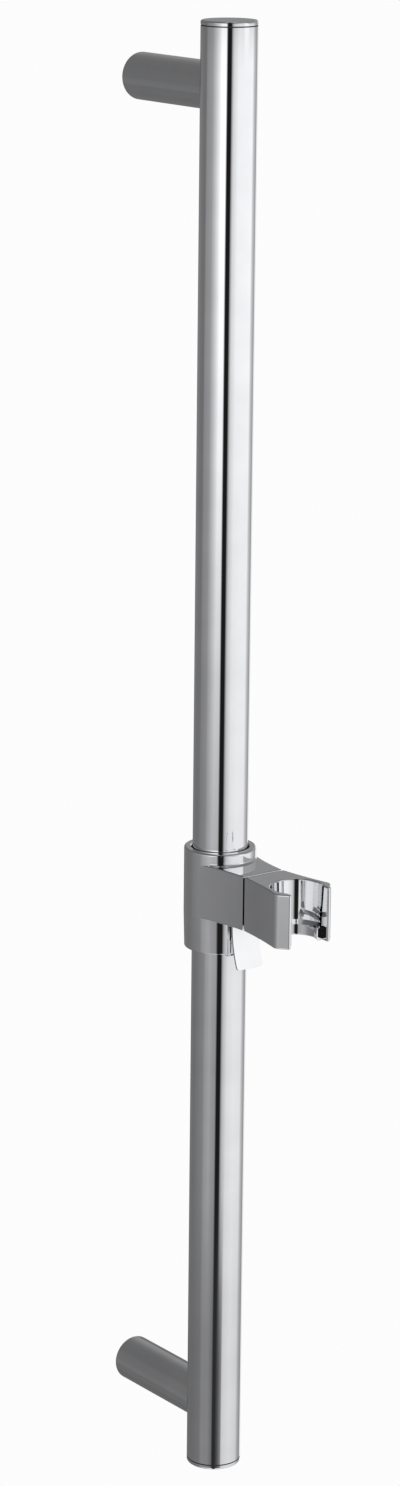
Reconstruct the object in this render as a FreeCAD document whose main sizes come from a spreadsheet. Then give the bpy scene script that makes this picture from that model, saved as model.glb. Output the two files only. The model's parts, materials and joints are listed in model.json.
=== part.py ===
import FreeCAD, Part
import math
import os
import Sketcher

# Driving sizes in millimetres, with the wall plane at Y = 0 and the rail in front of it, towards -Y
SIZES = {
    # Rail tube, end caps and their rings
    "rail_radius": 12.5,
    "rail_wall": 1.2,
    "rail_half_length": 331.5,
    "cap_height": 2.5,
    "cap_round": 0.9,
    "cap_seam": 0.55,
    "cap_seam_depth": 1.0,
    "cap_plug_length": 11.0,
    "cap_plug_gap": 0.15,
    "ring_gap": 0.03,
    "ring_sink": 0.2,
    # Posts between rail and wall
    "standoff": 65.0,
    "post_half_spacing": 305.0,
    "post_radius": 10.5,
    "post_edge": 0.5,
    "post_bore_radius": 7.5,
    "post_web": 9.0,
    "seat_gap": 0.03,
    # Screws that hold the posts to the rail, and the blocks they thread into
    "post_screw_radius": 2.95,
    "post_screw_hole_radius": 3.2,
    "post_screw_head_radius": 5.0,
    "post_screw_head_height": 6.0,
    "insert_gap": 0.1,
    "insert_flat": 1.0,
    "insert_length": 24.0,
    "thread_gap": 0.05,
    # Wall stubs and the set screws under the posts
    "spigot_length": 28.0,
    "spigot_gap": 0.1,
    "spigot_flange_radius": 9.3,
    "spigot_flange_height": 2.5,
    "wall_hole_radius": 2.75,
    "wall_screw_head_radius": 5.2,
    "grub_radius": 2.5,
    "grub_from_wall": 10.0,
    "grub_groove_depth": 1.2,
    "grub_sink": 0.4,
    # Slider: height on the rail, collar, arm and hollow
    "slider_height": -52.4,
    "collar_top": 18.0,
    "collar_bottom": -28.8,
    "collar_radius": 16.3,
    "collar_bottom_radius": 15.9,
    "collar_top_round": 0.9,
    "collar_bottom_round": 0.4,
    "collar_lip_radius": 13.1,
    "collar_lip_edge": 0.4,
    "collar_mid_radius": 13.4,
    "collar_foot_round": 0.9,
    "collar_foot_degrees": 106.0,
    "arm_half_height": 12.6,
    "arm_root_half_width": 15.578,
    "arm_root_forward": 4.763,
    "arm_front_half_width": 10.9,
    "arm_length": 31.75,
    "arm_waist_radius": 110.0,
    "arm_edge": 0.7,
    "arm_front_wall": 3.0,
    "hollow_half_width": 7.7,
    "hollow_top": 9.4,
    # Guide rings in the collar
    "bush_outer_radius": 14.3,
    "bush_gap": 0.06,
    "bush_end_gap": 0.15,
    "upper_bush_top": 15.5,
    "upper_bush_bottom": 10.05,
    "lower_bush_top": -14.55,
    "lower_bush_bottom": -25.5,
    "bush_slit": 2.0,
    # Release lever with its brake arm, pin, pad and spring
    "lever_pin_forward": 20.3,
    "lever_pin_drop": 9.6,
    "lever_pin_radius": 1.5,
    "lever_pin_near_end": 9.4,
    "lever_pin_far_end": 11.7,
    "running_gap": 0.05,
    "lever_hub_radius": 2.7,
    "lever_half_width": 7.25,
    "blade_bend_radius": 53.0,
    "blade_rear": 18.75,
    "blade_top_drop": 13.5,
    "blade_tip_drop": 34.3,
    "blade_thickness": 0.9,
    "blade_corner": 1.5,
    "brake_arm_half_width": 6.2,
    "brake_arm_rear": 15.6,
    "brake_arm_thickness": 2.6,
    "brake_arm_top": 8.5,
    "pad_half_width": 5.6,
    "pad_top": 8.0,
    "pad_bottom": -5.0,
    "pad_gap": 0.3,
    "spring_height": 7.1,
    "spring_radius": 1.9,
    "spring_wire_radius": 0.275,
    "spring_turns": 4.0,
    "spring_seat_depth": 1.0,
    "spring_seat_radius": 2.45,
    "spring_boss_radius": 1.3,
    "spring_boss_length": 1.5,
    # Holder: plan outline, tapered cradle with a conical seat low down, and the mouth between its prongs
    "seam": 1.2,
    "holder_flare_radius": 200.0,
    "holder_half_width": 15.7,
    "holder_wide_at": 61.3,
    "holder_point_half_width": 9.0,
    "holder_point_at": 69.2,
    "holder_corner": 4.0,
    "holder_tip_round": 0.9,
    "holder_edge": 0.8,
    "cradle_forward": 57.0,
    "cradle_top_radius": 11.9,
    "cradle_low_radius": 11.1,
    "cradle_seat_drop": 5.9,
    "cradle_throat_drop": 7.6,
    "cradle_throat_radius": 8.9,
    "mouth_half_width": 10.0,
    "hose_gap_at": 62.6,
    # Holder pivot: shoulder screw and washers
    "pivot_radius": 3.0,
    "pivot_thread_radius": 1.95,
    "pivot_thread_length": 7.5,
    "pivot_hole_depth": 8.5,
    "pivot_head_radius": 4.5,
    "pivot_head_height": 2.5,
    "spring_washer_height": 0.65,
    "spring_washer_thickness": 0.35,
    "spring_washer_radius": 4.4,
    "washer_gap": 0.15,
    "friction_washer_radius": 8.5,
    "friction_washer_thickness": 0.95,
}

doc = FreeCAD.newDocument("slide_rail")
sheet = doc.addObject("Spreadsheet::Sheet", "Sizes")
for row, (word, number) in enumerate(SIZES.items(), start=1):
    sheet.set(f"A{row}", word)
    sheet.set(f"B{row}", str(number))
    sheet.setAlias(f"B{row}", word)
doc.recompute()

pieces = []


class Dim:
    """A size: its value in millimetres and the sheet formula that gives it."""

    def __init__(self, value, text):
        self.value = float(value)
        self.text = text

    def __add__(self, other):
        other = as_dim(other)
        return Dim(self.value + other.value, f"({self.text} + {other.text})")

    def __sub__(self, other):
        other = as_dim(other)
        return Dim(self.value - other.value, f"({self.text} - {other.text})")

    def __mul__(self, other):
        other = as_dim(other)
        return Dim(self.value * other.value, f"({self.text} * {other.text})")

    def __truediv__(self, other):
        other = as_dim(other)
        return Dim(self.value / other.value, f"({self.text} / {other.text})")

    def __neg__(self):
        return Dim(-self.value, f"(-1 * {self.text})")

    def root(self):
        return Dim(math.sqrt(self.value), f"sqrt({self.text})")


def as_dim(number):
    return number if isinstance(number, Dim) else Dim(number, f"({number!r})")


def size(word):
    return Dim(SIZES[word], f"Sizes.{word}")


def side_of_triangle(long_side, other_side):
    return (long_side * long_side - other_side * other_side).root()


# Sketches and features

def new_body(label):
    body = doc.addObject("PartDesign::Body", label)
    body.Label = label
    pieces.append(body)
    return body


def new_sketch(body, name, role, offset=None):
    """Attaches a sketch to one of the body's own planes, moved along that plane's normal."""
    sketch = body.newObject("Sketcher::SketchObject", f"{body.Label}_{name}")
    plane = next(item for item in body.Origin.OriginFeatures if item.Role == role)
    sketch.AttachmentSupport = [(plane, "")]
    sketch.MapMode = "FlatFace"
    if offset is not None:
        sketch.setExpression("AttachmentOffset.Base.z", offset.text)
    return sketch


def bind(sketch, constraint, amount):
    index = sketch.addConstraint(constraint)
    sketch.setExpression(f"Constraints[{index}]", amount.text)


def place_point(sketch, geometry, vertex, x, y):
    """Holds a point at (x, y) from the sketch's origin; a plain zero puts it on the axis."""
    for kind, axis, amount in (("DistanceX", -2, as_dim(x)), ("DistanceY", -1, as_dim(y))):
        if amount.value == 0:
            sketch.addConstraint(Sketcher.Constraint("PointOnObject", geometry, vertex, axis))
        else:
            bind(sketch, Sketcher.Constraint(kind, -1, 1, geometry, vertex, amount.value), amount)


def arc_between(start, end, bend):
    """Arc with its centre on the left of the way from start to end, or on the right if bend < 0."""
    way = end - start
    half = way.Length / 2
    left = FreeCAD.Vector(-way.y, way.x, 0) / way.Length
    rise = math.sqrt(max(bend * bend - half * half, 0))
    centre = (start + end) / 2 + left * math.copysign(rise, bend)
    circle = Part.Circle(centre, FreeCAD.Vector(0, 0, 1), abs(bend))
    first, last = (start, end) if bend > 0 else (end, start)
    return Part.ArcOfCircle(circle, circle.parameter(first), circle.parameter(last))


def draw(sketch, corners):
    """Closed outline through corners (x, y); a third value is the radius of the arc to the next one."""
    points = [FreeCAD.Vector(as_dim(c[0]).value, as_dim(c[1]).value, 0) for c in corners]
    edges = []
    for i, corner in enumerate(corners):
        start = points[i]
        end = points[(i + 1) % len(points)]
        if len(corner) == 2:
            index = sketch.addGeometry(Part.LineSegment(start, end))
            edges.append((index, 1, 2))
        else:
            bend = corner[2]
            index = sketch.addGeometry(arc_between(start, end, bend.value))
            edges.append((index, 1, 2) if bend.value > 0 else (index, 2, 1))
            radius = bend if bend.value > 0 else -bend
            bind(sketch, Sketcher.Constraint("Radius", index, radius.value), radius)
    for this, following in zip(edges, edges[1:] + edges[:1]):
        sketch.addConstraint(Sketcher.Constraint("Coincident", this[0], this[2], following[0], following[1]))
    for (index, first, _), corner in zip(edges, corners):
        place_point(sketch, index, first, corner[0], corner[1])


def draw_circle(sketch, x, y, radius):
    centre = FreeCAD.Vector(as_dim(x).value, as_dim(y).value, 0)
    index = sketch.addGeometry(Part.Circle(centre, FreeCAD.Vector(0, 0, 1), radius.value))
    place_point(sketch, index, 3, x, y)
    bind(sketch, Sketcher.Constraint("Radius", index, radius.value), radius)


def mirrored(corners):
    """Half an outline on the +X side, given from back to front, closed by its mirror image."""
    other_side = [(-c[0], c[1]) for c in reversed(corners)]
    for i, corner in enumerate(reversed(corners[:-1])):
        if len(corner) == 3:
            other_side[i] += (corner[2],)
    return [*corners[:-1], corners[-1][:2], *other_side]


def extrude(body, sketch, depth, kind="Pad", flip=False):
    feature = body.newObject(f"PartDesign::{kind}", f"{sketch.Name}_{kind.lower()}")
    feature.Profile = sketch
    feature.Reversed = flip
    feature.setExpression("Length", depth.text)


def turn(body, sketch, axis, kind="Revolution", sweep=None):
    """Turns a profile right round, or through the given degrees, half to each side of the sketch."""
    feature = body.newObject(f"PartDesign::{kind}", f"{sketch.Name}_{kind.lower()}")
    feature.Profile = sketch
    feature.ReferenceAxis = (sketch, [axis])
    feature.Angle = 360
    if sweep is not None:
        feature.Midplane = True
        feature.setExpression("Angle", sweep.text)


def round_edges(body, name, radius, wanted):
    """Rounds the edges of the body that the test picks."""
    doc.recompute()
    base = body.Tip
    chosen = [f"Edge{i}" for i, edge in enumerate(base.Shape.Edges, start=1) if wanted(edge)]
    feature = body.newObject("PartDesign::Fillet", f"{body.Label}_{name}")
    feature.Base = (base, chosen)
    feature.setExpression("Radius", radius.text)


def place(piece, x=None, y=None, z=None, rotation=None):
    piece.Placement = FreeCAD.Placement(FreeCAD.Vector(0, 0, 0), rotation or FreeCAD.Rotation())
    for axis, amount in (("x", x), ("y", y), ("z", z)):
        if amount is not None:
            piece.setExpression(f"Placement.Base.{axis}", amount.text)


def turned(label, corners, upright):
    """A turned piece: (radius, z) corners about Z, or (y, radius) corners about Y."""
    body = new_body(label)
    sketch = new_sketch(body, "section", "XZ_Plane" if upright else "YZ_Plane")
    draw(sketch, corners)
    turn(body, sketch, "V_Axis" if upright else "H_Axis")
    return body


def drill(body, name, role, centre, radius, start, depth, flip=False):
    sketch = new_sketch(body, name, role, start)
    draw_circle(sketch, centre[0], centre[1], radius)
    extrude(body, sketch, depth, "Pocket", flip)


def on_slider(piece):
    place(piece, y=-size("standoff"), z=size("slider_height"))


def lies_flat_at(edge, height):
    box = edge.BoundBox
    return abs(box.ZMin - height) < 0.01 and abs(box.ZMax - height) < 0.01


def stands_at(edge, x, y):
    box = edge.BoundBox
    upright = box.ZLength > 1 and box.XLength < 0.01 and box.YLength < 0.01
    return upright and abs(abs(box.Center.x) - x) < 0.1 and abs(box.Center.y - y) < 0.1


# Rail tube, end caps and rings

def rail_tube():
    body = new_body("rail_tube")
    sketch = new_sketch(body, "section", "XY_Plane", -size("rail_half_length"))
    draw_circle(sketch, 0, 0, size("rail_radius"))
    draw_circle(sketch, 0, 0, size("rail_radius") - size("rail_wall"))
    extrude(body, sketch, size("rail_half_length") * 2)
    for name, height in (("upper", size("post_half_spacing")), ("lower", -size("post_half_spacing"))):
        hole = size("post_screw_hole_radius")
        drill(body, f"{name}_hole", "XZ_Plane", (0, height), hole, None, size("rail_radius") * 1.2)
    place(body, y=-size("standoff"))


def end_cap(label):
    bore = size("rail_radius") - size("rail_wall")
    plug = bore - size("cap_plug_gap")
    neck = size("rail_radius") - size("cap_seam_depth")
    rounded = size("cap_round")
    return turned(label, [
        (0, -size("cap_plug_length")),
        (plug - rounded, -size("cap_plug_length")),
        (plug, rounded - size("cap_plug_length")),
        (plug, 0),
        (neck, 0),
        (neck, size("cap_seam")),
        (size("rail_radius"), size("cap_seam")),
        (size("rail_radius"), size("cap_height") - rounded, rounded),
        (size("rail_radius") - rounded, size("cap_height")),
        (0, size("cap_height")),
    ], upright=True)


def cap_ring(label):
    """Flat rubber ring in the seam between cap and tube."""
    gap = size("ring_gap")
    inner = size("rail_radius") - size("cap_seam_depth") + gap
    outer = size("rail_radius") - size("ring_sink")
    top = size("cap_seam") - gap
    return turned(label, [(inner, gap), (outer, gap), (outer, top), (inner, top)], upright=True)


def rail_ends():
    over = FreeCAD.Rotation(FreeCAD.Vector(1, 0, 0), 180)
    ends = (("upper", size("rail_half_length"), None), ("lower", -size("rail_half_length"), over))
    for name, height, rotation in ends:
        for piece in (end_cap(f"{name}_end_cap"), cap_ring(f"{name}_cap_ring")):
            place(piece, y=-size("standoff"), z=height, rotation=rotation)


# Posts, their screws and blocks, and the wall stubs

def post_floor():
    """Distance from the rail's axis to the bottom of the post's bore."""
    return size("rail_radius") + size("post_web")


def post(label):
    wall = size("standoff")
    edge = size("post_edge")
    flange = size("spigot_flange_radius") + size("spigot_gap")
    step = wall - size("spigot_flange_height") - size("spigot_gap")
    start = size("rail_radius") * 0.4
    body = turned(label, [
        (start, size("post_screw_hole_radius")),
        (start, size("post_radius")),
        (wall - edge, size("post_radius"), -edge),
        (wall, size("post_radius") - edge),
        (wall, flange),
        (step, flange),
        (step, size("post_bore_radius")),
        (post_floor(), size("post_bore_radius")),
        (post_floor(), size("post_screw_hole_radius")),
    ], upright=False)
    saddle = size("rail_radius") + size("seat_gap")
    drill(body, "saddle", "XY_Plane", (0, 0), saddle, size("post_radius") * 1.5, size("post_radius") * 3)
    at = (0, wall - size("grub_from_wall"))
    drill(body, "grub_hole", "XY_Plane", at, size("grub_radius") + size("thread_gap"), None,
          size("post_radius") * 1.2)
    return body


def socket(body, name, role, centre, across, start, depth, flip):
    """Hexagon socket in the end of a screw."""
    corner = across / math.sqrt(3)
    sketch = new_sketch(body, name, role, start)
    turns = [math.radians(60 * k + 30) for k in range(6)]
    draw(sketch, [(as_dim(centre[0]) + corner * math.cos(a), as_dim(centre[1]) + corner * math.sin(a))
                  for a in turns])
    extrude(body, sketch, depth, "Pocket", flip)


def post_screw(label):
    head = post_floor() + size("post_screw_head_height")
    edge = size("post_edge")
    body = turned(label, [
        (size("insert_flat") * -1, 0),
        (size("insert_flat") * -1, size("post_screw_radius") - edge),
        (edge - size("insert_flat"), size("post_screw_radius")),
        (post_floor(), size("post_screw_radius")),
        (post_floor(), size("post_screw_head_radius")),
        (head - edge, size("post_screw_head_radius")),
        (head, size("post_screw_head_radius") - edge),
        (head, 0),
    ], upright=False)
    socket(body, "socket", "XZ_Plane", (0, 0), size("post_screw_head_radius"), -head,
           size("post_screw_head_height") * 0.5, flip=True)
    return body


def rail_insert(label):
    """Block inside the tube, round on the post's side and flat in front, with the screw's thread."""
    radius = size("rail_radius") - size("rail_wall") - size("insert_gap")
    flat = size("insert_flat")
    half = side_of_triangle(radius, flat)
    body = new_body(label)
    sketch = new_sketch(body, "section", "XY_Plane", -size("insert_length") / 2)
    draw(sketch, [(-half, flat), (half, flat, radius), (0, radius, radius)])
    extrude(body, sketch, size("insert_length"))
    drill(body, "thread", "XZ_Plane", (0, 0), size("post_screw_radius") + size("thread_gap"), None,
          size("rail_radius"))
    return body


def wall_spigot(label):
    """Stub on the wall: flange, stem with a ring groove for the set screw, and a sunk screw hole."""
    wall = size("standoff")
    stem = size("post_bore_radius") - size("spigot_gap")
    front = wall - size("spigot_length")
    groove = wall - size("grub_from_wall")
    depth = size("grub_groove_depth")
    sunk = size("wall_screw_head_radius")
    hole = size("wall_hole_radius")
    return turned(label, [
        (wall, hole),
        (front + sunk - hole, hole),
        (front, sunk),
        (front, stem - size("post_edge")),
        (front + size("post_edge"), stem),
        (groove - size("grub_radius") - depth, stem),
        (groove - size("grub_radius"), stem - depth),
        (groove + size("grub_radius"), stem - depth),
        (groove + size("grub_radius") + depth, stem),
        (wall - size("spigot_flange_height"), stem),
        (wall - size("spigot_flange_height"), size("spigot_flange_radius")),
        (wall, size("spigot_flange_radius")),
    ], upright=False)


def grub_screw(label):
    """Set screw in the underside of a post, its flat point in the stub's groove."""
    inner = size("post_bore_radius") - size("spigot_gap") - size("grub_groove_depth") + size("thread_gap")
    outer = size("post_radius") - size("grub_sink")
    at = size("standoff") - size("grub_from_wall")
    body = new_body(label)
    sketch = new_sketch(body, "section", "XY_Plane", -outer)
    draw_circle(sketch, 0, at, size("grub_radius"))
    extrude(body, sketch, outer - inner)
    socket(body, "socket", "XY_Plane", (0, at), size("grub_radius"), -outer, (outer - inner) * 0.6, flip=True)
    return body


def posts():
    makers = {"post": post, "post_screw": post_screw, "rail_insert": rail_insert,
              "wall_spigot": wall_spigot, "grub_screw": grub_screw}
    for end, height in (("upper", size("post_half_spacing")), ("lower", -size("post_half_spacing"))):
        for word, make in makers.items():
            place(make(f"{end}_{word}"), y=-size("standoff"), z=height)


# Slider body and its guide rings

def slider_body():
    body = new_body("slider_body")
    top, bottom = size("collar_top"), size("collar_bottom")
    top_round, bottom_round = size("collar_top_round"), size("collar_bottom_round")
    radius, half = size("collar_radius"), size("arm_half_height")
    arm = new_sketch(body, "arm", "XY_Plane", -half)
    draw(arm, mirrored([
        (size("arm_root_half_width"), -size("arm_root_forward"), size("arm_waist_radius")),
        (size("arm_front_half_width"), -size("arm_length")),
    ]))
    extrude(body, arm, half * 2)
    outside = -radius.value
    round_edges(body, "arm_edges", size("arm_edge"), lambda edge: edge.BoundBox.YMin < outside and (
        lies_flat_at(edge, half.value) or lies_flat_at(edge, -half.value)))

    collar = new_sketch(body, "collar", "XZ_Plane")
    draw(collar, [
        (0, bottom),
        (size("collar_bottom_radius") - bottom_round, bottom, bottom_round),
        (size("collar_bottom_radius"), bottom + bottom_round),
        (radius, -half),
        (radius, top - top_round, top_round),
        (radius - top_round, top),
        (0, top),
    ])
    turn(body, collar, "V_Axis")

    foot_round = size("collar_foot_round")
    foot = new_sketch(body, "foot", "YZ_Plane")
    draw(foot, [
        (-radius, half + foot_round, -foot_round),
        (-radius - foot_round, half),
        (-radius - foot_round, half - foot_round),
        (foot_round - radius, half - foot_round),
        (foot_round - radius, half + foot_round),
    ])
    turn(body, foot, "V_Axis", sweep=size("collar_foot_degrees"))

    groove = size("bush_outer_radius") + size("bush_gap")
    lip, lip_edge = size("collar_lip_radius"), size("collar_lip_edge")
    gap = size("bush_end_gap")
    bore = new_sketch(body, "bore", "XZ_Plane")
    draw(bore, [
        (0, bottom),
        (lip + lip_edge, bottom),
        (lip, bottom + lip_edge),
        (lip, size("lower_bush_bottom") - gap),
        (groove, size("lower_bush_bottom") - gap),
        (groove, size("lower_bush_top") + gap),
        (size("collar_mid_radius"), size("lower_bush_top") + gap),
        (size("collar_mid_radius"), size("upper_bush_bottom") - gap),
        (groove, size("upper_bush_bottom") - gap),
        (groove, size("upper_bush_top") + gap),
        (lip, size("upper_bush_top") + gap),
        (lip, top - lip_edge),
        (lip + lip_edge, top),
        (0, top),
    ])
    turn(body, bore, "V_Axis", "Groove")

    inner_face = size("arm_length") - size("arm_front_wall")
    wide = size("hollow_half_width")
    hollow = new_sketch(body, "hollow", "XY_Plane", -half)
    behind = -size("rail_radius") * 0.5
    draw(hollow, [(-wide, -inner_face), (wide, -inner_face), (wide, behind), (-wide, behind)])
    extrude(body, hollow, half + size("hollow_top"), "Pocket", flip=True)

    drill(body, "pivot_hole", "XZ_Plane", (0, 0), size("pivot_radius") + size("running_gap"), inner_face,
          size("arm_front_wall") * 2, flip=True)
    drill(body, "spring_seat", "XZ_Plane", (0, size("spring_height")), size("spring_seat_radius"), inner_face,
          size("spring_seat_depth"), flip=True)
    pin = (-size("lever_pin_forward"), -size("lever_pin_drop"))
    start = size("arm_root_half_width")
    drill(body, "pin_hole", "YZ_Plane", pin, size("lever_pin_radius"), start,
          start + size("lever_pin_near_end"))
    on_slider(body)


def bush(label, bottom, top):
    """Split plastic ring that runs on the rail, in a groove of the collar."""
    inner = size("rail_radius") + size("bush_gap")
    outer = size("bush_outer_radius")
    edge = size("bush_end_gap")
    body = turned(label, [
        (inner + edge, bottom),
        (outer - edge, bottom),
        (outer, bottom + edge),
        (outer, top - edge),
        (outer - edge, top),
        (inner + edge, top),
        (inner, top - edge),
        (inner, bottom + edge),
    ], upright=True)
    slit = new_sketch(body, "slit", "XY_Plane", top)
    half = size("bush_slit") / 2
    draw(slit, [(-half, inner * 0.5), (half, inner * 0.5), (half, outer * 1.2), (-half, outer * 1.2)])
    extrude(body, slit, top - bottom, "Pocket")
    on_slider(body)


# Release lever, pad, pin and spring

def release_lever():
    """Lever on a cross pin: curved finger blade below, flat brake arm above inside the slider."""
    pin_y, pin_z = -size("lever_pin_forward"), -size("lever_pin_drop")
    half = size("lever_half_width")
    body = new_body("release_lever")
    hub = new_sketch(body, "hub", "YZ_Plane", -half)
    draw_circle(hub, pin_y, pin_z, size("lever_hub_radius"))
    extrude(body, hub, half * 2)

    bend, thick = size("blade_bend_radius"), size("blade_thickness")
    top, rear = -size("blade_top_drop"), -size("blade_rear")
    fall = size("blade_tip_drop") - size("blade_top_drop")
    centre = rear - bend
    inner = bend - thick
    run = side_of_triangle(bend, fall)
    share = inner / bend
    blade = new_sketch(body, "blade", "YZ_Plane", -half)
    draw(blade, [
        (rear - thick, pin_z),
        (rear - thick, top, -inner),
        (centre + run * share, top - fall * share),
        (centre + run, top - fall, bend),
        (rear, top),
        (rear, pin_z),
    ])
    extrude(body, blade, half * 2)
    tip = (top - fall * share).value
    round_edges(body, "blade_corners", size("blade_corner"), lambda edge: (
        edge.BoundBox.ZMax < tip + 0.1 and edge.BoundBox.XLength < 0.01))

    arm = size("brake_arm_half_width")
    seat = -size("brake_arm_rear")
    back = seat - size("brake_arm_thickness")
    hub_radius = size("lever_hub_radius")
    plate = new_sketch(body, "brake_arm", "YZ_Plane", -arm)
    draw(plate, [
        (seat, size("brake_arm_top")),
        (back, size("brake_arm_top")),
        (back, pin_z + hub_radius * 2),
        (pin_y - hub_radius * 0.8, pin_z + hub_radius * 0.5),
        (pin_y, pin_z - hub_radius * 0.2),
        (pin_y + hub_radius * 0.9, pin_z - hub_radius * 0.3),
        (seat, pin_z + hub_radius * 0.8),
    ])
    extrude(body, plate, arm * 2)
    boss = new_sketch(body, "spring_boss", "XZ_Plane", -back)
    draw_circle(boss, 0, size("spring_height"), size("spring_boss_radius"))
    extrude(body, boss, size("spring_boss_length"))
    drill(body, "pin_bore", "YZ_Plane", (pin_y, pin_z), size("lever_pin_radius") + size("running_gap"), half,
          half * 2)
    on_slider(body)


def brake_pad():
    """Rubber pad on the brake arm, hollowed to the rail's radius."""
    half = size("pad_half_width")
    body = new_body("brake_pad")
    block = new_sketch(body, "block", "XY_Plane", size("pad_bottom"))
    seat, front = -size("brake_arm_rear"), -size("rail_radius") * 0.5
    draw(block, [(-half, seat), (half, seat), (half, front), (-half, front)])
    extrude(body, block, size("pad_top") - size("pad_bottom"))
    drill(body, "face", "XY_Plane", (0, 0), size("rail_radius") + size("pad_gap"), size("pad_top"),
          size("pad_top") - size("pad_bottom"))
    on_slider(body)


def lever_pin():
    pin = doc.addObject("Part::Cylinder", "lever_pin")
    pin.setExpression("Radius", size("lever_pin_radius").text)
    pin.setExpression("Height", (size("lever_pin_near_end") + size("lever_pin_far_end")).text)
    pieces.append(pin)
    place(pin, x=-size("lever_pin_near_end"), y=-size("standoff") - size("lever_pin_forward"),
          z=size("slider_height") - size("lever_pin_drop"),
          rotation=FreeCAD.Rotation(FreeCAD.Vector(0, 1, 0), 90))


def brake_spring():
    """Coil between the brake arm and its seat in the arm's front wall."""
    wire = size("spring_wire_radius")
    start = size("brake_arm_rear") + size("brake_arm_thickness") + wire * 1.1
    end = size("arm_length") - size("arm_front_wall") + size("spring_seat_depth") - wire * 1.1
    body = new_body("brake_spring")
    sketch = new_sketch(body, "wire", "XY_Plane")
    draw_circle(sketch, size("spring_radius"), -start, wire)
    coil = body.newObject("PartDesign::AdditiveHelix", "brake_spring_coil")
    coil.Profile = sketch
    coil.ReferenceAxis = (sketch, ["V_Axis"])
    coil.Mode = "height-turns-angle"
    coil.Reversed = True
    coil.setExpression("Height", (end - start).text)
    coil.setExpression("Turns", size("spring_turns").text)
    place(body, y=-size("standoff"), z=size("slider_height") + size("spring_height"))


# Holder and its pivot

def holder_back():
    return size("arm_length") + size("seam")


def holder():
    """Cradle for the handset: flared block, conical seat low down, open mouth between two prongs."""
    half = size("arm_half_height")
    back = holder_back()
    wide, wide_at = size("holder_half_width"), size("holder_wide_at")
    point, point_at = size("holder_point_half_width"), size("holder_point_at")
    body = new_body("holder")
    outline = new_sketch(body, "outline", "XY_Plane", -half)
    draw(outline, mirrored([
        (size("arm_front_half_width"), -back, size("holder_flare_radius")),
        (wide, -wide_at),
        (point, -point_at),
    ]))
    extrude(body, outline, half * 2)
    side = wide.value, -wide_at.value
    round_edges(body, "corners", size("holder_corner"), lambda edge: stands_at(edge, *side))

    axis, seat = size("cradle_forward"), -size("cradle_seat_drop")
    cradle = new_sketch(body, "cradle", "XZ_Plane", axis)
    draw(cradle, [
        (0, -half),
        (size("cradle_throat_radius"), -half),
        (size("cradle_throat_radius"), -size("cradle_throat_drop")),
        (size("cradle_low_radius"), seat),
        (size("cradle_top_radius"), half),
        (0, half),
    ])
    turn(body, cradle, "V_Axis", "Groove")
    open_half = size("mouth_half_width")
    for name, start, low in (("hose_gap", size("hose_gap_at"), -half), ("mouth", axis, seat)):
        cut = new_sketch(body, name, "XZ_Plane", start)
        draw(cut, [(-open_half, low), (open_half, low), (open_half, half), (-open_half, half)])
        extrude(body, cut, point_at - start + size("seam"), "Pocket", flip=True)

    tip_at = point_at - (open_half - point) * (point_at - wide_at) / (wide - point)
    tip = open_half.value, -tip_at.value
    round_edges(body, "tips", size("holder_tip_round"), lambda edge: stands_at(edge, *tip))
    round_edges(body, "edges", size("holder_edge"), lambda edge: lies_flat_at(edge, half.value) or (
        lies_flat_at(edge, -half.value) and edge.BoundBox.XLength > 0.01))
    drill(body, "thread", "XZ_Plane", (0, 0), size("pivot_thread_radius") + size("thread_gap"), back,
          size("pivot_hole_depth"), flip=True)
    on_slider(body)


def pivot_parts():
    back = -holder_back()
    wall = size("arm_front_wall") - size("arm_length")
    rest = wall + size("washer_gap")
    head = rest + size("spring_washer_height")
    top = head + size("pivot_head_height")
    edge = size("post_edge")
    screw = turned("pivot_screw", [
        (back - size("pivot_thread_length"), 0),
        (back - size("pivot_thread_length"), size("pivot_thread_radius")),
        (back, size("pivot_thread_radius")),
        (back, size("pivot_radius")),
        (head, size("pivot_radius")),
        (head, size("pivot_head_radius")),
        (top - edge, size("pivot_head_radius"), -edge),
        (top, size("pivot_head_radius") - edge),
        (top, 0),
    ], upright=False)
    socket(screw, "socket", "XZ_Plane", (0, 0), size("pivot_radius"), -top,
           size("pivot_head_height") * 0.6, flip=True)

    hole = size("pivot_radius") + size("running_gap")
    thick = size("spring_washer_thickness")
    rise = size("spring_washer_height") - thick
    spring_washer = turned("spring_washer", [
        (rest + rise, hole),
        (rest + rise + thick, hole),
        (rest + thick, size("spring_washer_radius")),
        (rest, size("spring_washer_radius")),
    ], upright=False)
    friction_washer = turned("friction_washer", [
        (back, hole),
        (back + size("friction_washer_thickness"), hole),
        (back + size("friction_washer_thickness"), size("friction_washer_radius")),
        (back, size("friction_washer_radius")),
    ], upright=False)
    for piece in (screw, spring_washer, friction_washer):
        on_slider(piece)


def write_pieces():
    doc.recompute()
    for item in doc.Objects:
        if "Invalid" in item.State or "Error" in item.State:
            raise RuntimeError(f"{item.Label} failed: {item.State}")
    for piece in pieces:
        if piece.Shape.isNull() or not piece.Shape.isValid():
            raise RuntimeError(f"{piece.Label} has no valid shape")
    os.makedirs("parts", exist_ok=True)
    for piece in pieces:
        piece.Shape.exportStep(os.path.join("parts", f"{piece.Label}.step"))


rail_tube()
rail_ends()
posts()
slider_body()
bush("upper_bush", size("upper_bush_bottom"), size("upper_bush_top"))
bush("lower_bush", size("lower_bush_bottom"), size("lower_bush_top"))
release_lever()
brake_pad()
lever_pin()
brake_spring()
holder()
pivot_parts()
write_pieces()
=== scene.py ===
import json
import math
import bpy
from mathutils import Matrix, Vector


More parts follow.
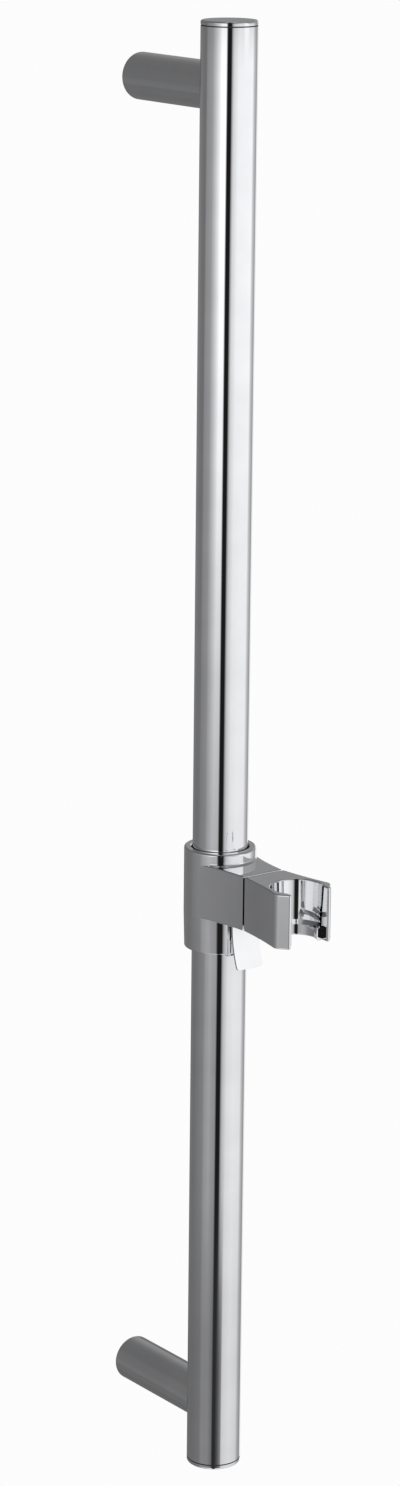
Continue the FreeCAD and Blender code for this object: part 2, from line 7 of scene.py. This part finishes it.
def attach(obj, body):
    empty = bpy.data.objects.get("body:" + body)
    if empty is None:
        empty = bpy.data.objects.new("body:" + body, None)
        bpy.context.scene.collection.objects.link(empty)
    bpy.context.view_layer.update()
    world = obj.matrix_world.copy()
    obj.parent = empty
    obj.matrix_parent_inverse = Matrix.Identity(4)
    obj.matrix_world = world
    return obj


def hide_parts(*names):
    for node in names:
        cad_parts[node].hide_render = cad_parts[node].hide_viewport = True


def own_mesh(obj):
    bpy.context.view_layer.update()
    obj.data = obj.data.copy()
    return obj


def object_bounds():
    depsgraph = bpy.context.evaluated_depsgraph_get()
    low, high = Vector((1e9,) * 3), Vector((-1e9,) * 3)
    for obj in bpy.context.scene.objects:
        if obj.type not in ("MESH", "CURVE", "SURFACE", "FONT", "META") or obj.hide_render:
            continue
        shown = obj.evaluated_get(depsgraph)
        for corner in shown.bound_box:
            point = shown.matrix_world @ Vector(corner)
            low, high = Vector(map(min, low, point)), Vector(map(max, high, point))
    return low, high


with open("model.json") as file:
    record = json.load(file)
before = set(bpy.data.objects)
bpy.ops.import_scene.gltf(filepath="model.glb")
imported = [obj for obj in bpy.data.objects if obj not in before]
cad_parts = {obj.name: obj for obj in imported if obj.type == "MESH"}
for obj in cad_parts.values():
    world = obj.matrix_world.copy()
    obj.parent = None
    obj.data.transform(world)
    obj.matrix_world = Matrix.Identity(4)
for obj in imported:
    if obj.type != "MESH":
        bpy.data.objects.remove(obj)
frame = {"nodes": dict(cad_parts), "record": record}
cad_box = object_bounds()

# Camera: place in metres, aim in degrees, and lens for a 36 mm sensor
CAMERA_PLACE = Vector((-1.07626, -1.50079, 0.47644))
CAMERA_YAW = 36.5484
CAMERA_PITCH = 14.4765
CAMERA_ROLL = 0.5769
CAMERA_LENS = 100.054

# Floor far below the rail in metres, how far the camera sees, and the pale tone that it sees round the object
FLOOR_DROP = 0.6
FLOOR_SIZE = 80.0
CAMERA_REACH = 4 * FLOOR_SIZE
PALE = (0.985, 0.975, 0.982, 1.0)

# Blue of the studio light, against its red and green
COOL = 1.012

# Light by direction, in degrees round the rail from the camera, + to its right, each with its brightness
# White screens on both sides of a black strip in front
FRONT_SCREENS = (
    (-52, 0.65), (-38, 0.98), (-28, 1.32), (-11.5, 1.32), (-6, 0.012), (9, 0.012), (13.5, 0.45),
    (20, 0.83), (40, 1.1),
)
# Narrow white screen behind
BACK_SCREEN = ((149, 0.36), (152, 0.95), (171, 0.95), (174, 0.17))

# Rings of that light, from the floor up
FLOOR_RING = (
    (-180, 0.15), (-125, 0.15), (-95, 0.27), (-72, 0.45), (-60, 0.95), (-12, 1.0), (-8, 0.02), (8, 0.02),
    (12, 1.0), (120, 0.9), (150, 0.3), (180, 0.15),
)
LOW_RING = (
    (-180, 0.17), (-110, 0.17), (-68, 0.2), (-57, 0.27), (-28, 0.27), (-12, 0.18), (-7, 0.03), (4, 0.03),
    (15, 0.1), (28, 0.28), (32, 0.72), (47, 0.8), (68, 0.85), (106, 0.77), (121, 0.48), (140, 0.32),
    *BACK_SCREEN, (180, 0.17),
)
LOWER_RAIL_RING = (
    (-180, 0.17), (-147, 0.2), (-123, 0.18), (-106, 0.2), (-68, 0.26), (-57, 0.36), (-37, 0.43),
    (-26, 0.37), (-11.5, 0.33), (-6, 0.012), (9.5, 0.012), (15, 0.42), (21, 0.62), (37, 0.88), (68, 0.97),
    (108, 0.93), (121, 0.6), (140, 0.36), *BACK_SCREEN, (180, 0.17),
)
UPPER_RAIL_RING = (
    (-180, 0.17), (-147, 0.24), (-125, 0.2), (-108, 0.185), (-101, 0.195), (-96, 0.3), (-68, 0.38),
    *FRONT_SCREENS, (110, 1.16), (121, 0.7), (140, 0.42), *BACK_SCREEN, (180, 0.17),
)
LEVEL_RING = (
    (-180, 0.28), (-168, 0.17), (-108, 0.17), (-95, 0.2), (-68, 0.3), (-52, 0.42), (-38, 0.6),
    (-28, 0.85), (-11.5, 0.85), (-6, 0.012), (9, 0.012), (13.5, 0.3), (20, 0.5), (40, 0.58), (60, 0.6),
    (65, 1.14), (81, 1.14), (86, 0.58), (110, 0.42), (121, 0.3), (140, 0.24), *BACK_SCREEN, (180, 0.28),
)
RISING_RING = (
    (-180, 0.3), (-170, 0.24), (-157, 0.16), (-108, 0.17), (-95, 0.2), (-68, 0.38), *FRONT_SCREENS,
    (77, 1.14), (80.5, 0.5), (110, 0.48), (150, 0.42), (180, 0.3),
)
HIGH_RING = (
    (-180, 0.3), (-165, 0.2), (-150, 0.17), (-105, 0.16), (-80, 0.14), (-50, 0.17), (-30, 0.15),
    (-12, 0.09), (-7, 0.02), (7, 0.02), (10, 0.07), (28, 0.08), (34, 0.22), (58, 0.26), (64, 0.42),
    (79, 0.42), (87, 0.27), (140, 0.25), (180, 0.3),
)
CEILING_RING = (
    (-180, 0.3), (-130, 0.25), (-70, 0.5), (-40, 0.9), (-12, 0.9), (-8, 0.02), (7, 0.02), (10, 0.09),
    (46, 0.09), (64, 0.9), (100, 1.0), (180, 0.3),
)

# Elevations in degrees between which each ring takes over from the one below, starting on the floor's
LIGHT_STEPS = (
    ((-42.0, -32.0), LOW_RING),
    ((-23.0, -20.0), LOWER_RAIL_RING),
    ((-19.5, -6.5), UPPER_RAIL_RING),
    ((-5.2, -3.8), LEVEL_RING),
    ((8.0, 13.0), RISING_RING),
    ((22.0, 27.0), HIGH_RING),
    ((72.0, 80.0), CEILING_RING),
)

# Colour sockets of a mix node, which shares its socket names with other kinds of value
MIX_BELOW = 6
MIX_ABOVE = 7
MIX_RESULT = 2

# Noise: its detail, the values that most of it lies between, and stretches along the axes
NOISE_DETAIL = 3.0
NOISE_LOW = 0.3
NOISE_HIGH = 0.7
EVEN = (1, 1, 1)
ALONG_RAIL = (1, 1, 0.06)
ACROSS_Y = (1, 6, 1)

# Chrome: scales of its cloudiness and polish marks, tints, roughness, and how its waves look
CHROME_CLOUDS = 60.0
POLISH_MARKS = 420.0
CHROME_TINTS = ((0.77, 0.775, 0.785), (0.82, 0.824, 0.832))
CHROME_ROUGHNESS = (0.025, 0.05)
WAVE_DETAIL = 1.0
WAVE_STRENGTH = 0.4

# Turned metal: scales of its cloudiness and lines, and the lines' strength and depth in metres
METAL_CLOUDS = 120.0
METAL_LINES = 900.0
LINE_STRENGTH = 0.25
LINE_DEPTH = 0.00003

# Plastic and rubber: scale of the cloudiness, and the grain's strength and depth in metres
MOULDED_CLOUDS = 150.0
GRIT_STRENGTH = 0.3
GRIT_DEPTH = 0.00004


# Helpers

def new_object(name, data):
    made = bpy.data.objects.new(name, data)
    bpy.context.scene.collection.objects.link(made)
    return made


def bare_tree(block):
    """Gives a material or world an empty node tree."""
    block.use_nodes = True
    block.node_tree.nodes.clear()
    return block.node_tree


def link(tree, source, target):
    tree.links.new(source, target)


def add(tree, kind, **settings):
    node = tree.nodes.new(kind)
    for word, value in settings.items():
        setattr(node, word, value)
    return node


def set_inputs(node, **values):
    """Sets a node's sockets by name, with _ for each space."""
    for word, value in values.items():
        node.inputs[word.replace("_", " ")].default_value = value


def fill_ramp(ramp, stops):
    """Sets a colour ramp from (position, colour) stops."""
    while len(ramp.elements) < len(stops):
        ramp.elements.new(1.0)
    for element, (position, colour) in zip(ramp.elements, stops):
        element.position = position
        element.color = colour


# Camera, floor and light

def aim_camera():
    yaw, pitch, roll = (math.radians(a) for a in (CAMERA_YAW, CAMERA_PITCH, CAMERA_ROLL))
    ahead = Vector((math.sin(yaw) * math.cos(pitch), math.cos(yaw) * math.cos(pitch), -math.sin(pitch)))
    level_right = Vector((math.cos(yaw), -math.sin(yaw), 0))
    level_up = level_right.cross(ahead)
    right = level_right * math.cos(roll) + level_up * math.sin(roll)
    up = level_up * math.cos(roll) - level_right * math.sin(roll)
    data = bpy.data.cameras.new("camera")
    data.lens = CAMERA_LENS
    data.clip_end = CAMERA_REACH
    camera = new_object("camera", data)
    axes = Matrix((right, up, -ahead)).transposed().to_4x4()
    camera.matrix_world = Matrix.Translation(CAMERA_PLACE) @ axes
    bpy.context.scene.camera = camera


def pale_floor():
    height = cad_box[0].z - FLOOR_DROP
    half = FLOOR_SIZE / 2
    mesh = bpy.data.meshes.new("floor")
    corners = [(-half, -half, height), (half, -half, height), (half, half, height), (-half, half, height)]
    mesh.from_pydata(corners, [], [(0, 1, 2, 3)])
    material = bpy.data.materials.new("floor")
    tree = bare_tree(material)
    glow = add(tree, "ShaderNodeEmission")
    set_inputs(glow, Color=PALE)
    output = add(tree, "ShaderNodeOutputMaterial")
    link(tree, glow.outputs[0], output.inputs["Surface"])
    mesh.materials.append(material)
    floor = new_object("floor", mesh)
    floor.visible_glossy = False


def round_the_rail(tree, direction):
    """Gives a direction's place in the turn round the rail, from 0 to 1, with the camera's side at 0.5."""
    yaw = math.radians(CAMERA_YAW)
    to_right = (math.cos(yaw), -math.sin(yaw), 0)
    to_camera = (-math.sin(yaw), -math.cos(yaw), 0)
    angle = add(tree, "ShaderNodeMath", operation="ARCTAN2")
    for axis, socket in zip((to_right, to_camera), angle.inputs):
        dot = add(tree, "ShaderNodeVectorMath", operation="DOT_PRODUCT")
        dot.inputs[1].default_value = axis
        link(tree, direction, dot.inputs[0])
        link(tree, dot.outputs["Value"], socket)
    turn = add(tree, "ShaderNodeMapRange")
    set_inputs(turn, From_Min=-math.pi, From_Max=math.pi)
    link(tree, angle.outputs[0], turn.inputs["Value"])
    return turn.outputs[0]


def light_ring(tree, turn, stops):
    ramp = add(tree, "ShaderNodeValToRGB")
    fill_ramp(ramp.color_ramp, [
        ((angle + 180) / 360, (level, level, level * COOL, 1.0)) for angle, level in stops
    ])
    link(tree, turn, ramp.inputs[0])
    return ramp.outputs[0]


def fade(tree, height, edge, below, above):
    """Goes from one ring of light to the next between two elevations."""
    start, end = (math.sin(math.radians(elevation)) for elevation in edge)
    share = add(tree, "ShaderNodeMapRange", interpolation_type="SMOOTHSTEP")
    set_inputs(share, From_Min=start, From_Max=end)
    link(tree, height, share.inputs["Value"])
    mix = add(tree, "ShaderNodeMix", data_type="RGBA")
    link(tree, share.outputs[0], mix.inputs["Factor"])
    link(tree, below, mix.inputs[MIX_BELOW])
    link(tree, above, mix.inputs[MIX_ABOVE])
    return mix.outputs[MIX_RESULT]


def studio_light():
    """Lights the object by the rings, while the camera itself sees only the pale tone."""
    world = bpy.data.worlds.new("studio")
    bpy.context.scene.world = world
    tree = bare_tree(world)
    direction = add(tree, "ShaderNodeTexCoord").outputs["Generated"]
    turn = round_the_rail(tree, direction)
    height = add(tree, "ShaderNodeSeparateXYZ")
    link(tree, direction, height.inputs[0])
    light = light_ring(tree, turn, FLOOR_RING)
    for edge, stops in LIGHT_STEPS:
        light = fade(tree, height.outputs["Z"], edge, light, light_ring(tree, turn, stops))
    lit = add(tree, "ShaderNodeBackground")
    link(tree, light, lit.inputs["Color"])
    pale = add(tree, "ShaderNodeBackground")
    set_inputs(pale, Color=PALE)
    seen = add(tree, "ShaderNodeLightPath").outputs["Is Camera Ray"]
    choose = add(tree, "ShaderNodeMixShader")
    for source, socket in zip((seen, lit.outputs[0], pale.outputs[0]), choose.inputs):
        link(tree, source, socket)
    output = add(tree, "ShaderNodeOutputWorld")
    link(tree, choose.outputs[0], output.inputs["Surface"])
    bpy.context.scene.view_settings.view_transform = "Standard"


# Materials

def surface(name, metallic):
    material = bpy.data.materials.new(name)
    material.use_nodes = True
    tree = material.node_tree
    shader = tree.nodes["Principled BSDF"]
    set_inputs(shader, Metallic=metallic)
    return material, tree, shader


def grain(tree, scale, stretch=EVEN, detail=NOISE_DETAIL):
    """Noise over the piece in metres, stretched along the axes."""
    place = add(tree, "ShaderNodeTexCoord")
    spread = add(tree, "ShaderNodeMapping")
    set_inputs(spread, Scale=stretch)
    link(tree, place.outputs["Object"], spread.inputs["Vector"])
    noise = add(tree, "ShaderNodeTexNoise")
    set_inputs(noise, Scale=scale, Detail=detail)
    link(tree, spread.outputs[0], noise.inputs["Vector"])
    return noise.outputs[0]


def tint(tree, shader, noise, tints):
    dark, light = tints
    ramp = add(tree, "ShaderNodeValToRGB")
    fill_ramp(ramp.color_ramp, [(NOISE_LOW, (*dark, 1)), (NOISE_HIGH, (*light, 1))])
    link(tree, noise, ramp.inputs[0])
    link(tree, ramp.outputs[0], shader.inputs["Base Color"])


def roughen(tree, shader, noise, roughness):
    low, high = roughness
    spread = add(tree, "ShaderNodeMapRange")
    set_inputs(spread, From_Min=NOISE_LOW, From_Max=NOISE_HIGH, To_Min=low, To_Max=high)
    link(tree, noise, spread.inputs["Value"])
    link(tree, spread.outputs[0], shader.inputs["Roughness"])


def ripple(tree, shader, noise, strength, depth):
    bump = add(tree, "ShaderNodeBump")
    set_inputs(bump, Strength=strength, Distance=depth)
    link(tree, noise, bump.inputs["Height"])
    link(tree, bump.outputs[0], shader.inputs["Normal"])


def chrome(name, wave_scale, wave_depth, stretch=EVEN):
    """Bright chrome: faint cloudiness, fine polish marks and the slow waviness of the metal under it."""
    material, tree, shader = surface(name, metallic=1.0)
    tint(tree, shader, grain(tree, CHROME_CLOUDS), CHROME_TINTS)
    roughen(tree, shader, grain(tree, POLISH_MARKS, stretch), CHROME_ROUGHNESS)
    ripple(tree, shader, grain(tree, wave_scale, stretch, WAVE_DETAIL), WAVE_STRENGTH, wave_depth)
    return material


def metal(name, tints, roughness):
    """Turned metal with fine lines, which are rings on the pieces that lie along Y."""
    material, tree, shader = surface(name, metallic=1.0)
    lines = grain(tree, METAL_LINES, ACROSS_Y)
    tint(tree, shader, grain(tree, METAL_CLOUDS), tints)
    roughen(tree, shader, lines, roughness)
    ripple(tree, shader, lines, LINE_STRENGTH, LINE_DEPTH)
    return material


def moulded(name, tints, roughness, grit):
    """Moulded plastic or rubber with a fine matt grain."""
    material, tree, shader = surface(name, metallic=0.0)
    fine = grain(tree, grit)
    tint(tree, shader, grain(tree, MOULDED_CLOUDS), tints)
    roughen(tree, shader, fine, roughness)
    ripple(tree, shader, fine, GRIT_STRENGTH, GRIT_DEPTH)
    return material


def finishes():
    """Makes a material for each of the record's slots."""
    return {
        "chrome_tube": chrome("chrome_tube", wave_scale=40.0, wave_depth=0.0000012, stretch=ALONG_RAIL),
        "chrome_fitting": chrome("chrome_fitting", wave_scale=55.0, wave_depth=0.000002),
        "chrome_cast": chrome("chrome_cast", wave_scale=70.0, wave_depth=0.000003),
        "nylon": moulded(
            "nylon", tints=((0.03, 0.03, 0.034), (0.06, 0.06, 0.066)), roughness=(0.42, 0.6), grit=1500.0,
        ),
        "rubber": moulded(
            "rubber", tints=((0.018, 0.018, 0.018), (0.035, 0.035, 0.036)), roughness=(0.6, 0.8), grit=1100.0,
        ),
        "steel": metal("steel", tints=((0.52, 0.52, 0.53), (0.64, 0.64, 0.65)), roughness=(0.2, 0.34)),
        "brass": metal("brass", tints=((0.66, 0.49, 0.23), (0.77, 0.6, 0.31)), roughness=(0.18, 0.32)),
    }


def dress_nodes():
    made = finishes()
    for row in frame["record"]["subparts"]:
        node = frame["nodes"][row["node"]]
        node.data.materials.clear()
        node.data.materials.append(made[row["material_slot"]])


def shorten_spring():
    """Puts a copy of the brake spring in its place on the slider; the spring shortens as the lever is
    pressed, but nothing here makes the copy shorten.
    """
    node = frame["nodes"]["brake_spring"]
    coil = new_object("brake_coil", node.data.copy())
    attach(coil, "slider")
    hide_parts("brake_spring")
    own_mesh(coil)


aim_camera()
pale_floor()
studio_light()
dress_nodes()
shorten_spring()
